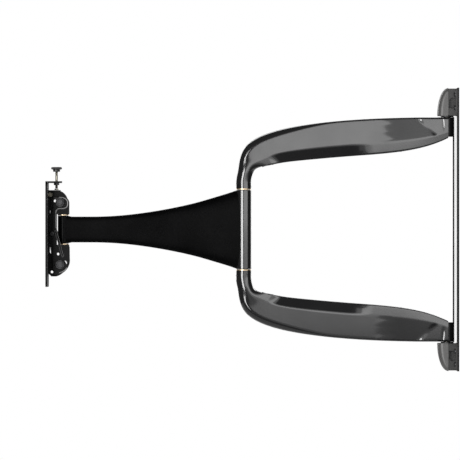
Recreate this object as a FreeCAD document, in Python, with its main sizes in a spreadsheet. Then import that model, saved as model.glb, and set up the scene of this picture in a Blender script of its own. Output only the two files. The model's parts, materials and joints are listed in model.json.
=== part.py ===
import FreeCAD, Part
import math
import os
import re
import Sketcher

# Full motion wall mount for a flat TV. Origin: centre of the wall plate's back face.
# +X points into the wall, the mount reaches out along -X, and +Z is up.

doc = FreeCAD.newDocument("tv_wall_mount")
sheet = doc.addObject("Spreadsheet::Sheet", "Sizes")

sizes = {
    # wall plate, a folded steel channel
    "plateHalfHeight": 205, "plateHalfWidth": 50, "plateGauge": 2.5, "plateDepth": 7.25,
    "flangeHalfHeight": 163.5,
    "wallBoltY": 34, "wallBoltZ": 110, "wallBoltRadius": 4.5,
    # wall brackets and their caps
    "bracketLow": 165, "bracketHigh": 204, "bracketHalfWidth": 28, "bracketDepth": 15.2,
    "footHalfWidth": 44, "footFront": 5, "footLow": 169, "footHigh": 202,
    "bossRadius": 11, "bossHigh": 176, "spigotRadius": 8, "spigotHigh": 190,
    "archLow": 175.5, "archSpring": 185.25, "archRadius": 5.45, "archX": -9.05, "archDeep": 19,
    "capLow": 164.6, "capReach": 15.3, "capHalfWidth": 30, "capWall": 2, "capRound": 7,
    "screwRowY": 37, "screwRowLow": 176, "screwRowHigh": 195,
    "screwRadius": 2, "screwHeadRadius": 3.8, "screwHeadTop": 7.2, "screwEnd": 0.4,
    # wall pivot
    "wallPivotX": -16.5, "pinRadius": 5, "pinLow": 137, "pinHigh": 186,
    "thrustRadius": 9.5, "thrustLow": 162.8, "grubRadius": 2, "grubZ": 170.5,
    # arms
    "armHalf": 11.3, "armEdge": 4, "armTop": 162.5, "armHeel": 138.2, "armHeelX": -5.2,
    "armFoot": 59.6, "armFootTop": 64, "armShoulder": 90,
    "elbowX": -311.5, "shaftRadius": 6, "shaftHalf": 96, "setScrewZ": 84,
    "bushOuter": 7.5, "wallBushLow": 138, "runningGap": 0.08,
    "coverInner": -70, "coverOuter": -284, "coverHalf": 7, "coverGap": 0.4,
    "coverScrewIn": 14, "coverScrewRadius": 1.5, "coverEdgeWall": 112.6, "coverEdgeElbow": 93.6,
    # forearm
    "barrelHalf": 57.4, "barrelSkin": 11.3, "washerLow": 57.7, "brassRadius": 10.6,
    "elbowSeat": 9, "elbowSeatDeep": 16, "neckHalf": 18.7, "neckHalfY": 7.5,
    "panX": -573, "knuckleRadius": 8, "knuckleHalf": 20, "panSeat": 6, "panSeatDeep": 11,
    # pan yoke
    "panBoltRadius": 4, "lugLow": 22, "lugHigh": 26, "lugHalfY": 11, "lugRound": 9,
    "webFront": -585, "webBack": -582.5, "cheekInner": 17.5, "cheekOuter": 20,
    "cheekNotch": 23, "stayGauge": 2, "panHeadHigh": 31, "panHexRadius": 7.2, "panNutLow": 34,
    # tilt head
    "lightHole": 2, "tiltLug": 3.9,
    "tiltX": -589.4, "tiltZ": -5.8, "guideArc": 46.5, "guideAngle": 75.5,
    "guideRadius": 3, "slotHalf": 3.3, "tiltUp": 5, "tiltDown": 8, "slotSpare": 1,
    "earInner": 14.5, "earOuter": 17, "carriageFront": -595, "carriageBack": -592.5,
    "tiltBoltRadius": 2.5, "sideFace": 20.4, "washerFace": 21.4, "headFace": 25,
    "tiltHeadRadius": 4.2, "guideHexRadius": 5.2, "guideWasherRadius": 6.3, "nutFace": 10.8,
    "bridgeLow": 54.5, "bridgeHigh": 57, "bridgeBack": -577,
    "rodX": -591.6, "rodZ": 50.5, "rodRadius": 1.8, "rodHalf": 23, "collarRadius": 3.1,
    # tv plate
    "tvFace": -598, "tvBack": -595, "tvHalfWidth": 60, "tvTop": 70, "tvBottom": -83,
    "tvRound": 8, "vesaZ": -6.5, "vesaLarge": 50, "vesaSmall": 37.5, "vesaRadius": 2.5,
    "tabLow": 67.4, "tabBack": -575, "tabHalf": 16,
    # thumb screw
    "thumbX": -582.8, "thumbRadius": 1.9, "threadHole": 2.25, "padLow": 57.3, "padHigh": 59.3,
    "padRadius": 3, "hubLow": 83.7, "discLow": 87, "knobTop": 90.6,
    "hubRadius": 5.1, "knobRadius": 7.8, "notchRadius": 0.7, "nutLow": 64.4, "nutRadius": 4,
}

for row, (alias, number) in enumerate(sizes.items(), 1):
    sheet.set(f"A{row}", alias)
    sheet.set(f"B{row}", str(number))
    sheet.setAlias(f"B{row}", alias)
doc.recompute()

knownWords = re.compile(r"\b(" + "|".join(sizes) + r")\b")
pieces = []


def bound(text):
    return knownWords.sub(r"Sizes.\1", text)


def size(text):
    return float(sheet.evalExpression(bound(text)))


def bind(thing, field, text):
    thing.setExpression(field, bound(text))


def piece(label, thing):
    thing.Label = label
    pieces.append(thing)
    return thing


def mirrored(low, high, side):
    # a span given for the upper or right side, turned over for the other one
    return (low, high) if side > 0 else (f"-({high})", f"-({low})")


# ---- primitives whose sizes follow the sheet

def block(name, x, y, z):
    box = doc.addObject("Part::Box", name)
    for field, axis, span in (("Length", "x", x), ("Width", "y", y), ("Height", "z", z)):
        bind(box, field, f"({span[1]}) - ({span[0]})")
        bind(box, f"Placement.Base.{axis}", span[0])
    return box


def turnTo(axis):
    turns = {"x": (FreeCAD.Vector(0, 1, 0), 90), "y": (FreeCAD.Vector(1, 0, 0), -90)}
    return FreeCAD.Rotation(*turns[axis]) if axis in turns else FreeCAD.Rotation()


def stand(solid, axis, centre, low):
    across = {"x": "yz", "y": "xz", "z": "xy"}[axis]
    solid.Placement = FreeCAD.Placement(FreeCAD.Vector(), turnTo(axis))
    for letter, text in zip(across + axis, (*centre, low)):
        bind(solid, f"Placement.Base.{letter}", text)
    return solid


def rod(name, axis, radius, centre, span):
    solid = doc.addObject("Part::Cylinder", name)
    bind(solid, "Radius", radius)
    bind(solid, "Height", f"({span[1]}) - ({span[0]})")
    return stand(solid, axis, centre, span[0])


def hexagon(name, axis, radius, centre, span):
    solid = doc.addObject("Part::Prism", name)
    solid.Polygon = 6
    bind(solid, "Circumradius", radius)
    bind(solid, "Height", f"({span[1]}) - ({span[0]})")
    return stand(solid, axis, centre, span[0])


def join(name, solids):
    fused = doc.addObject("Part::MultiFuse", name)
    fused.Shapes = solids
    fused.Refine = True
    return fused


def carve(name, base, tools):
    cut = doc.addObject("Part::Cut", name)
    cut.Base = base
    cut.Tool = tools[0] if len(tools) == 1 else join(name + "Tools", tools)
    cut.Refine = True
    return cut


def meet(name, first, second):
    common = doc.addObject("Part::Common", name)
    common.Base = first
    common.Tool = second
    return common


def group(name, solids):
    bundle = doc.addObject("Part::Compound", name)
    bundle.Links = solids
    return bundle


def ring(name, axis, outer, inner, centre, span):
    past = (f"({span[0]}) - 1", f"({span[1]}) + 1")
    return carve(name, rod(name + "Outer", axis, outer, centre, span),
                 [rod(name + "Inner", axis, inner, centre, past)])


# ---- sketched profiles

def profile(body, name, role, offset="0"):
    sketch = body.newObject("Sketcher::SketchObject", name)
    plane = next(face for face in body.Origin.OriginFeatures if face.Role == role)
    sketch.AttachmentSupport = (plane, [""])
    sketch.MapMode = "FlatFace"
    bind(sketch, "AttachmentOffset.Base.z", offset)
    return sketch


def fixPoint(sketch, edge, end, point):
    for kind, text in (("DistanceX", point[0]), ("DistanceY", point[1])):
        index = sketch.addConstraint(Sketcher.Constraint(kind, -1, 1, edge, end, size(text)))
        bind(sketch, f"Constraints[{index}]", text)


def spot(point):
    return FreeCAD.Vector(size(point[0]), size(point[1]), 0)


def trace(sketch, start, steps):
    # each step ends at its last point: one point is a line, two an arc, more a smooth curve
    first = sketch.GeometryCount
    here = start
    for step in steps:
        points = [spot(point) for point in [here, *step]]
        if len(step) == 1:
            edge = Part.LineSegment(*points)
        elif len(step) == 2:
            edge = Part.Arc(*points)
        else:
            edge = Part.BSplineCurve()
            edge.interpolate(points)
        sketch.addGeometry(edge, False)
        here = step[-1]
    edges = range(first, sketch.GeometryCount)
    smooth = [edge for edge, step in zip(edges, steps) if len(step) > 2]
    corners = [start] + [step[-1] for step in steps]
    for number, edge in enumerate(edges):
        before = edges[number - 1]
        if edge in smooth:
            continue
        fixPoint(sketch, edge, endAt(sketch, edge, corners[number]), corners[number])
        if before not in smooth:
            ends = [endAt(sketch, one, corners[number]) for one in (before, edge)]
            sketch.addConstraint(Sketcher.Constraint("Coincident", before, ends[0], edge, ends[1]))


def endAt(sketch, edge, point):
    # which end of the edge lies at the point, since an arc may be stored either way round
    return min((1, 2), key=lambda end: (sketch.getPoint(edge, end) - spot(point)).Length)


def hole(sketch, centre, radius):
    circle = Part.Circle(spot(centre), FreeCAD.Vector(0, 0, 1), size(radius))
    edge = sketch.addGeometry(circle, False)
    index = sketch.addConstraint(Sketcher.Constraint("Radius", edge, size(radius)))
    bind(sketch, f"Constraints[{index}]", radius)
    fixPoint(sketch, edge, 3, centre)


def arcSlot(sketch, centre, radius, half, start, stop):
    middle = spot(centre)
    up = FreeCAD.Vector(0, 0, 1)
    a, b = math.radians(size(start)), math.radians(size(stop))
    r, w = size(radius), size(half)

    def along(angle):
        return middle + FreeCAD.Vector(math.cos(angle), math.sin(angle), 0) * r

    sketch.addGeometry(Part.ArcOfCircle(Part.Circle(middle, up, r + w), a, b), False)
    sketch.addGeometry(Part.ArcOfCircle(Part.Circle(along(b), up, w), b, b + math.pi), False)
    sketch.addGeometry(Part.ArcOfCircle(Part.Circle(middle, up, r - w), a, b), False)
    sketch.addGeometry(Part.ArcOfCircle(Part.Circle(along(a), up, w), a - math.pi, a), False)


def pad(body, name, sketch, length, bothWays=False):
    solid = body.newObject("PartDesign::Pad", name)
    solid.Profile = sketch
    bind(solid, "Length", length)
    if bothWays:
        solid.SideType = "Symmetric"
    return solid


def newBody(name):
    return doc.addObject("PartDesign::Body", name)


def rounded(body, name, base, radius, wanted):
    # wanted picks the edges by their middle point
    doc.recompute()
    names = []
    for number, edge in enumerate(base.Shape.Edges, 1):
        middle = edge.valueAt((edge.FirstParameter + edge.LastParameter) / 2)
        if wanted(edge, middle):
            names.append(f"Edge{number}")
    fillet = body.newObject("PartDesign::Fillet", name)
    fillet.Base = (base, names)
    bind(fillet, "Radius", radius)
    return fillet


# ---- wall unit

def wallPlate():
    web = block("plateWeb", ("-plateGauge", "0"), ("-plateHalfWidth", "plateHalfWidth"),
                ("-plateHalfHeight", "plateHalfHeight"))
    flanges = [block(f"plateFlange{side + 1}", ("-plateDepth", "0"),
                     mirrored("plateHalfWidth - plateGauge", "plateHalfWidth", side),
                     ("-flangeHalfHeight", "flangeHalfHeight")) for side in (-1, 1)]
    holes = []
    for across in ("-1", "1"):
        for up in ("-1", "1"):
            holes.append(rod("wallHole", "x", "wallBoltRadius",
                             (f"{across} * wallBoltY", f"{up} * wallBoltZ"), ("-10", "1")))
            for height in ("screwRowLow", "screwRowHigh"):
                holes.append(rod("bracketHole", "x", "screwRadius + 0.3",
                                 (f"{across} * screwRowY", f"{up} * {height}"), ("-10", "1")))
    channel = join("plateChannel", [web, *flanges])
    piece("wall_plate", carve("wallPlate", channel, holes))


def bracket(label, side):
    def spanZ(low, high):
        return mirrored(low, high, side)

    pivot = ("wallPivotX", "0")
    solids = [
        block(label + "Body", ("-bracketDepth", "-plateGauge"),
              ("-bracketHalfWidth", "bracketHalfWidth"), spanZ("bracketLow", "bracketHigh")),
        block(label + "Foot", ("-footFront", "-plateGauge"),
              ("-footHalfWidth", "footHalfWidth"), spanZ("footLow", "footHigh")),
        rod(label + "Boss", "z", "bossRadius", pivot, spanZ("bracketLow", "bossHigh")),
        rod(label + "Spigot", "z", "spigotRadius", pivot, spanZ("bracketLow", "spigotHigh")),
    ]
    tools = [
        rod(label + "Bore", "z", "pinRadius", pivot, spanZ("bracketLow - 1", "pinHigh")),
        rod(label + "Grub", "x", "grubRadius", ("0", f"{side} * grubZ"),
            ("wallPivotX - bossRadius - 1", "wallPivotX")),
    ]
    for cheek in (-1, 1):
        spanY = mirrored("archDeep", "bracketHalfWidth + 1", cheek)
        tools.append(block(label + "Arch", ("archX - archRadius", "archX + archRadius"),
                           spanY, spanZ("archLow", "archSpring")))
        tools.append(rod(label + "ArchTop", "y", "archRadius",
                         ("archX", f"{side} * archSpring"), spanY))
        for height in ("screwRowLow", "screwRowHigh"):
            tools.append(rod(label + "Hole", "x", "screwRadius + 0.1",
                             (f"{cheek} * screwRowY", f"{side} * {height}"), ("-20", "1")))
    piece(label, carve(label + "Cut", join(label + "Solid", solids), tools))


def capProfile(sketch, side, reach, high, low):
    # quarter ellipse from the lower front edge up to the bracket's top
    curve = []
    for quarter in range(1, 6):
        angle = quarter * 18
        curve.append((f"-bracketDepth - ({reach}) * cos({angle}deg)",
                      f"{side} * (({low}) + (({high}) - ({low})) * sin({angle}deg))"))
    trace(sketch, ("-bracketDepth", f"{side} * ({low})"),
          [[(f"-bracketDepth - ({reach})", f"{side} * ({low})")], curve,
           [("-bracketDepth", f"{side} * ({low})")]])


def endCap(label, side):
    outside = newBody(label + "Outside")
    sketch = profile(outside, label + "Side", "XZ_Plane")
    capProfile(sketch, side, "capReach", "plateHalfHeight", "capLow")
    solid = pad(outside, label + "Pad", sketch, "2 * capHalfWidth", bothWays=True)
    rounded(outside, label + "Round", solid, "capRound",
            lambda edge, middle: abs(abs(middle.y) - size("capHalfWidth")) < 0.01
            and abs(middle.x) > size("bracketDepth") + 1
            and abs(abs(middle.z) - size("capLow")) > 1)
    inside = newBody(label + "Inside")
    hollow = profile(inside, label + "Hollow", "XZ_Plane")
    capProfile(hollow, side, "capReach - capWall", "plateHalfHeight - capWall", "capLow - 1")
    inner = pad(inside, label + "Core", hollow, "2 * (capHalfWidth - capWall)", bothWays=True)
    rounded(inside, label + "CoreRound", inner, "capRound - capWall",
            lambda edge, middle: abs(abs(middle.y) - size("capHalfWidth - capWall")) < 0.01
            and abs(middle.x) > size("bracketDepth") + 1
            and abs(abs(middle.z) - size("capLow - 1")) > 1)
    piece(label, carve(label + "Shell", outside, [inside]))


def wallFasteners():
    screws = []
    for across in ("-1", "1"):
        for up in ("-1", "1"):
            for height in ("screwRowLow", "screwRowHigh"):
                centre = (f"{across} * screwRowY", f"{up} * {height}")
                shank = rod("bracketShank", "x", "screwRadius", centre, ("-footFront", "-screwEnd"))
                head = rod("bracketHead", "x", "screwHeadRadius", centre,
                           ("-screwHeadTop", "-footFront"))
                screws.append(join("bracketScrew", [shank, head]))
    piece("bracket_screws", group("bracketScrews", screws))
    grubs = [rod("pinGrub", "x", "grubRadius", ("0", f"{up} * grubZ"),
                 ("wallPivotX - bossRadius", "wallPivotX - pinRadius")) for up in ("-1", "1")]
    piece("pin_set_screws", group("pinGrubs", grubs))
    washers = [ring("thrustWasher", "z", "thrustRadius", "pinRadius", ("wallPivotX", "0"),
                    mirrored("thrustLow", "bracketLow", side)) for side in (-1, 1)]
    piece("wall_thrust_washers", group("thrustWashers", washers))
    for label, side in (("upper_wall_pin", 1), ("lower_wall_pin", -1)):
        piece(label, rod(label + "Rod", "z", "pinRadius", ("wallPivotX", "0"),
                         mirrored("pinLow", "pinHigh", side)))


# ---- arms

def armBlank(label, side):
    # side view of one casting: flat top, a long fall to the elbow, and the hollow inner edge
    body = newBody(label + "Blank")
    sketch = profile(body, label + "Side", "XZ_Plane")

    def at(points):
        return [(str(x) if isinstance(x, (int, float)) else x,
                 f"{side} * ({height})") for x, height in points]

    outer = at([(-108, "armTop - 1.2"), (-177.6, "armTop - 5.5"), (-236, "armTop - 13"),
                (-275, "armTop - 22.4"), (-303, "armTop - 36.5"), (-318, "armTop - 54"),
                ("elbowX - armHalf", "armShoulder")])
    inner = at([(-298.4, 76.5), (-291.5, 85.6), (-280, 91.2), (-262, 95.6), (-224, 100.4),
                (-154.4, 106.4), (-84.8, 112.8), (-46, 120.6), ("armHeelX", "armHeel")])
    trace(sketch, at([("armHeelX", "armHeel")])[0], [
        at([("armHeelX", "armTop")]),
        at([(-62, "armTop")]),
        outer,
        at([("elbowX - armHalf", "armFoot")]),
        at([("elbowX + armHalf", "armFoot")]),
        at([("elbowX + armHalf", "armFootTop")]),
        inner,
    ])
    solid = pad(body, label + "Pad", sketch, "2 * armHalf", bothWays=True)
    rounded(body, label + "Edges", solid, "armEdge",
            lambda edge, middle: abs(abs(middle.y) - size("armHalf")) < 0.01
            and abs(middle.z) > size("armFoot") + 1 and middle.x < size("armHeelX") - 1)
    plan = join(label + "Plan", [
        block(label + "PlanBar", ("elbowX", "wallPivotX"), ("-armHalf", "armHalf"),
              ("-armTop - 1", "armTop + 1")),
        rod(label + "PlanElbow", "z", "armHalf", ("elbowX", "0"), ("-armTop - 1", "armTop + 1")),
        rod(label + "PlanWall", "z", "armHalf", ("wallPivotX", "0"), ("-armTop - 1", "armTop + 1")),
    ])
    return meet(label + "Casting", body, plan)


def groovePrism(label, side):
    # everything on the hollow side of a line that follows the arm's inner edge
    body = newBody(label)
    sketch = profile(body, label + "Side", "XZ_Plane")
    low = f"{side} * (armFoot + 2)"
    rise = [(-84.8, 117.4), (-154.4, 110.9), (-224, 104.9), (-262, 100.1)]
    points = [(str(x), f"{side} * {height}") for x, height in rise]
    trace(sketch, ("coverInner", low), [
        [("coverInner", f"{side} * 120.4")],
        [*points, ("coverOuter", f"{side} * 93.6")],
        [("coverOuter", low)],
        [("coverInner", low)],
    ])
    pad(body, label + "Pad", sketch, "2 * coverHalf", bothWays=True)
    return body


def arm(label, side):
    blank = armBlank(label, side)
    pivot = ("wallPivotX", "0")
    elbow = ("elbowX", "0")
    tools = [
        rod(label + "BushSeat", "z", "bushOuter", pivot, mirrored("armHeel - 12", "armTop + 1", side)),
        rod(label + "ShaftSeat", "z", "shaftRadius", elbow, mirrored("armFoot - 1", "shaftHalf", side)),
        rod(label + "Grub", "y", "grubRadius + 0.5", ("elbowX", f"{side} * setScrewZ"),
            ("-armHalf - 1", "0")),
        groovePrism(label + "Groove", side),
    ]
    piece(label, carve(label + "Cut", blank, tools))
    room = block(label + "Room", ("coverOuter + coverGap", "coverInner - coverGap"),
                 ("coverGap - coverHalf", "coverHalf - coverGap"),
                 mirrored("armFoot", "armTop", side))
    lid = meet(label + "Lid", groovePrism(label + "LidPrism", side), room)
    strip = meet(label + "Strip", blank, lid)
    holes = [rod(label + "StripHole", "z", "coverScrewRadius + 0.1", (x, "0"),
                 mirrored("armFoot", "armTop - 20", side))
             for x in ("coverInner - coverScrewIn", "coverOuter + coverScrewIn")]
    piece(label.replace("arm", "cable_cover"), carve(label + "Cover", strip, holes))


def armFasteners():
    screws = []
    for side in (-1, 1):
        for x, edge in (("coverInner - coverScrewIn", "coverEdgeWall"),
                        ("coverOuter + coverScrewIn", "coverEdgeElbow")):
            screws.append(rod("coverScrew", "z", "coverScrewRadius", (x, "0"),
                              mirrored(f"{edge} + 0.6", f"{edge} + 3.6", side)))
    piece("cover_screws", group("coverScrews", screws))
    bushes = [ring("wallBush", "z", "bushOuter", "pinRadius + runningGap", ("wallPivotX", "0"),
                   mirrored("wallBushLow", "armTop", side)) for side in (-1, 1)]
    piece("wall_bushes", group("wallBushes", bushes))
    piece("elbow_shaft", rod("elbowShaft", "z", "shaftRadius", ("elbowX", "0"),
                             ("-shaftHalf", "shaftHalf")))
    grubs = [rod("shaftGrub", "y", "grubRadius + 0.5", ("elbowX", f"{side} * setScrewZ"),
                 ("-armHalf + 0.6", "-shaftRadius")) for side in (-1, 1)]
    piece("shaft_set_screws", group("shaftGrubs", grubs))
    washers = [ring("elbowWasher", "z", "brassRadius", "shaftRadius", ("elbowX", "0"),
                    mirrored("washerLow", "armFoot", side)) for side in (-1, 1)]
    piece("elbow_washers", group("elbowWashers", washers))


# ---- forearm

def forearm():
    body = newBody("forearmBlank")
    sketch = profile(body, "forearmSide", "XZ_Plane")
    flare = [(-335, 52.4), (-350, 47.9), (-372, 41.3), (-398, 34.8), (-444, 26.1), (-488, 20.6),
             (-528, None)]

    def heights(side):
        return [(str(x), f"{side} * neckHalf" if z is None else f"{side * z}") for x, z in flare]

    tip = "panX - knuckleRadius - 1"
    trace(sketch, ("elbowX", "-barrelHalf"), [
        [("elbowX", "barrelHalf")],
        [("elbowX - 9", "barrelHalf")],
        heights(1),
        [("panX + 12", "neckHalf")],
        [("panX + 9", "knuckleHalf")],
        [(tip, "knuckleHalf")],
        [(tip, "-knuckleHalf")],
        [("panX + 9", "-knuckleHalf")],
        [("panX + 12", "-neckHalf")],
        [("-528", "-neckHalf")],
        [*heights(-1)[-2::-1], ("elbowX - 9", "-barrelHalf")],
        [("elbowX", "-barrelHalf")],
    ])
    solid = pad(body, "forearmPad", sketch, "2 * armHalf", bothWays=True)
    plan = newBody("forearmPlan")
    top = profile(plan, "forearmTop", "XY_Plane", "-barrelHalf - 2")
    trace(top, ("elbowX", "-armHalf"), [
        [("elbowX", "armHalf")],
        [("elbowX - 60", "armHalf - 2.2")],
        [("panX + 40", "neckHalfY")],
        [("panX", "neckHalfY")],
        [("panX", "-neckHalfY")],
        [("panX + 40", "-neckHalfY")],
        [("elbowX - 60", "2.2 - armHalf")],
        [("elbowX", "-armHalf")],
    ])
    pad(plan, "forearmPlanPad", top, "2 * barrelHalf + 4")
    web = meet("forearmWeb", body, plan)
    barrel = rod("forearmBarrel", "z", "barrelSkin", ("elbowX", "0"), ("-barrelHalf", "barrelHalf"))
    knuckle = rod("forearmKnuckle", "z", "knuckleRadius", ("panX", "0"),
                  ("-knuckleHalf", "knuckleHalf"))
    tools = [
        rod("forearmBore", "z", "shaftRadius + 0.6", ("elbowX", "0"), ("-barrelHalf", "barrelHalf")),
        rod("forearmPanBore", "z", "panBoltRadius + 0.5", ("panX", "0"),
            ("-knuckleHalf", "knuckleHalf")),
    ]
    elbowBushes, panBushes = [], []
    for side in (-1, 1):
        elbowSpan = mirrored("barrelHalf - elbowSeatDeep", "barrelHalf", side)
        panSpan = mirrored("knuckleHalf - panSeatDeep", "knuckleHalf", side)
        tools.append(rod("elbowBushSeat", "z", "elbowSeat", ("elbowX", "0"), elbowSpan))
        tools.append(rod("panBushSeat", "z", "panSeat", ("panX", "0"), panSpan))
        elbowBushes.append(ring("elbowBush", "z", "elbowSeat", "shaftRadius + runningGap",
                                ("elbowX", "0"), elbowSpan))
        panBushes.append(ring("panBush", "z", "panSeat", "panBoltRadius + runningGap",
                              ("panX", "0"), panSpan))
    piece("forearm", carve("forearmCut", join("forearmSolid", [web, barrel, knuckle]), tools))
    piece("elbow_bushes", group("elbowBushes", elbowBushes))
    piece("pan_bushes", group("panBushes", panBushes))


# ---- pan yoke

def cheek(name, side):
    body = newBody(name)
    face = "cheekOuter" if side > 0 else "-cheekInner"
    sketch = profile(body, name + "Side", "XZ_Plane", f"-({face})")
    trace(sketch, ("tiltX - 4.2", "0"), [
        [("tiltX - 0.5", "47.3")],
        [("panX + 1", "47.3")],
        [("panX + 6.6", "44"), ("panX + 8.5", "38")],
        [("panX + 8.5", "cheekNotch + 2")],
        [("panX + 6.5", "cheekNotch")],
        [("webBack", "cheekNotch")],
        [("webBack", "-cheekNotch")],
        [("panX + 6.5", "-cheekNotch")],
        [("panX + 9", "-cheekNotch - 2.5")],
        [("panX + 9.2", "-42")],
        [("panX + 6", "-56"), ("panX - 4", "-64.5")],
        [("tiltX + 3.2", "-64.5")],
        [("tiltX - 4.2", "-12")],
        [("tiltX - 4.2", "0")],
    ])
    hole(sketch, ("tiltX", "tiltZ"), "tiltBoltRadius + 0.3")
    hole(sketch, ("tiltX + 8.9", "tiltZ - 29.7"), "lightHole")
    arcSlot(sketch, ("tiltX", "tiltZ"), "guideArc", "slotHalf",
            "guideAngle - tiltUp - slotSpare", "guideAngle + tiltDown + slotSpare")
    arcSlot(sketch, ("tiltX", "tiltZ"), "guideArc", "slotHalf",
            "-guideAngle - tiltUp - slotSpare", "-guideAngle + tiltDown + slotSpare")
    pad(body, name + "Pad", sketch, "cheekOuter - cheekInner")
    return body


def panYoke():
    solids = [cheek("cheekRight", 1), cheek("cheekLeft", -1)]
    solids.append(block("yokeWeb", ("webFront", "webBack"), ("-cheekOuter", "cheekOuter"),
                        ("-lugHigh", "lugHigh")))
    tools = []
    for side in (-1, 1):
        height = mirrored("lugLow", "lugHigh", side)
        solids.append(block("yokeLug", ("webFront", "panX"), ("-lugHalfY", "lugHalfY"), height))
        solids.append(rod("yokeLugEnd", "z", "lugRound", ("panX", "0"), height))
        tools.append(rod("yokeLugHole", "z", "panBoltRadius", ("panX", "0"), height))
    piece("pan_yoke", carve("yokeCut", join("yokeSolid", solids), tools))


def panFasteners():
    pan = ("panX", "0")
    shank = rod("panShank", "z", "panBoltRadius", pan, ("-panNutLow - 1.5", "lugHigh"))
    head = hexagon("panHead", "z", "panHexRadius", pan, ("lugHigh", "panHeadHigh"))
    piece("pan_bolt", join("panBolt", [shank, head]))
    nut = hexagon("panNutHex", "z", "panHexRadius", pan, ("-panNutLow", "-lugHigh - 1.5"))
    bore = rod("panNutBore", "z", "panBoltRadius", pan, ("-panNutLow - 1", "-lugHigh"))
    piece("pan_nut", carve("panNut", nut, [bore]))
    piece("pan_nut_washer", ring("panNutWasher", "z", "panHexRadius + 1", "panBoltRadius", pan,
                                 ("-lugHigh - 1.5", "-lugHigh")))
    washers = [ring("panBrass", "z", "knuckleRadius", "panBoltRadius", pan,
                    mirrored("knuckleHalf + 0.3", "lugLow", side)) for side in (-1, 1)]
    piece("pan_washers", group("panWashers", washers))


def tiltStays():
    stays = []
    for side in (-1, 1):
        body = newBody("stay")
        face = "cheekOuter + stayGauge" if side > 0 else "-cheekOuter"
        sketch = profile(body, "staySide", "XZ_Plane", f"-({face})")
        trace(sketch, ("-585.2", "-2.4"), [
            [("-583.9", "-0.3"), ("-581.9", "-1.6")],
            [("-572", "-38.1")],
            [("-573.2", "-40.1"), ("-575.2", "-38.9")],
            [("-585.2", "-2.4")],
        ])
        pad(body, "stayPad", sketch, "stayGauge")
        stays.append(body)
    piece("tilt_stays", group("tiltStays", stays))


# ---- tilt head

def ear(name, side):
    body = newBody(name)
    face = "earOuter" if side > 0 else "-earInner"
    sketch = profile(body, name + "Side", "XZ_Plane", f"-({face})")
    trace(sketch, ("carriageFront", "27"), [
        [("carriageFront", "bridgeHigh")],
        [("panX - 9", "bridgeHigh")],
        [("panX + 2", "51.6"), ("panX + 6.5", "41.5")],
        [("panX + 6.5", "36")],
        [("panX + 3", "32.7")],
        [("panX - 13", "32.7")],
        [("carriageBack", "27")],
        [("carriageBack", "-33")],
        [("panX - 13", "-42")],
        [("panX - 4", "-42.5")],
        [("panX + 2.6", "-46.5"), ("panX + 4.5", "-54")],
        [("panX - 0.5", "-62.5"), ("panX - 10", "-68")],
        [("panX - 17", "-68")],
        [("carriageFront", "-63")],
        [("carriageFront", "27")],
    ])
    hole(sketch, ("panX - 12", "41.5"), "lightHole")
    hole(sketch, ("tiltX", "-61.5"), "lightHole")
    pad(body, name + "Pad", sketch, "earOuter - earInner")
    return body


def tiltCarriage():
    solids = [
        ear("earRight", 1), ear("earLeft", -1),
        block("carriageWeb", ("carriageFront", "carriageBack"), ("-earOuter", "earOuter"),
              ("-63", "bridgeHigh")),
        block("carriageBridge", ("carriageFront", "bridgeBack"), ("-earOuter", "earOuter"),
              ("bridgeLow", "bridgeHigh")),
    ]
    tools = [rod("tiltHole", "y", "tiltBoltRadius", ("tiltX", "tiltZ"), ("-earOuter - 1", "earOuter + 1")),
             rod("rodHole", "y", "rodRadius", ("rodX", "rodZ"), ("-earOuter - 1", "earOuter + 1"))]
    for side in (-1, 1):
        span = mirrored("earInner", "earOuter", side)
        solids.append(rod("tiltLug", "y", "tiltLug", ("tiltX", "tiltZ"), span))
        solids.append(block("tiltLugRoot", ("carriageFront", "tiltX"), span,
                            ("tiltZ - tiltLug", "tiltZ + tiltLug")))
        for up in (-1, 1):
            tools.append(rod("guideHole", "y", "guideRadius", guideCentre(up), span))
    piece("tilt_carriage", carve("carriageCut", join("carriageSolid", solids), tools))


def guideCentre(up):
    return ("tiltX + guideArc * cos(guideAngle * 1deg)",
            f"tiltZ + {up} * guideArc * sin(guideAngle * 1deg)")


def tvPlate():
    body = newBody("tvPlateSheet")
    sketch = profile(body, "tvPlateFace", "YZ_Plane", "tvFace")
    slant = "tvRound * (1 - cos(45deg))"
    corners = [("-1", "tvBottom", "1"), ("1", "tvBottom", "1"), ("1", "tvTop", "-1"),
               ("-1", "tvTop", "-1")]
    steps = []
    for number, (across, height, inward) in enumerate(corners):
        edge = f"{across} * tvHalfWidth"
        onLevel = (f"{across} * (tvHalfWidth - tvRound)", height)
        onSide = (edge, f"{height} + {inward} * tvRound")
        middle = (f"{across} * (tvHalfWidth - {slant})", f"{height} + {inward} * {slant}")
        first, last = (onLevel, onSide) if number % 2 else (onSide, onLevel)
        steps += [[first], [middle, last]]
    trace(sketch, steps[-1][-1], steps)
    for half in ("vesaLarge", "vesaSmall"):
        for across in ("-1", "1"):
            for up in ("-1", "1"):
                hole(sketch, (f"{across} * {half}", f"vesaZ + {up} * {half}"), "vesaRadius")
    pad(body, "tvPlatePad", sketch, "tvBack - tvFace")
    tab = block("tvTab", ("tvFace", "tabBack"), ("-tabHalf", "tabHalf"), ("tabLow", "tvTop"))
    bore = rod("tvTabHole", "z", "threadHole", ("thumbX", "0"), ("tabLow - 1", "tvTop + 1"))
    piece("tv_plate", carve("tvPlateCut", join("tvPlateSolid", [body, tab]), [bore]))
    piece("tab_nut", ring("tabNut", "z", "nutRadius", "threadHole", ("thumbX", "0"),
                          ("nutLow", "tabLow")))


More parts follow.
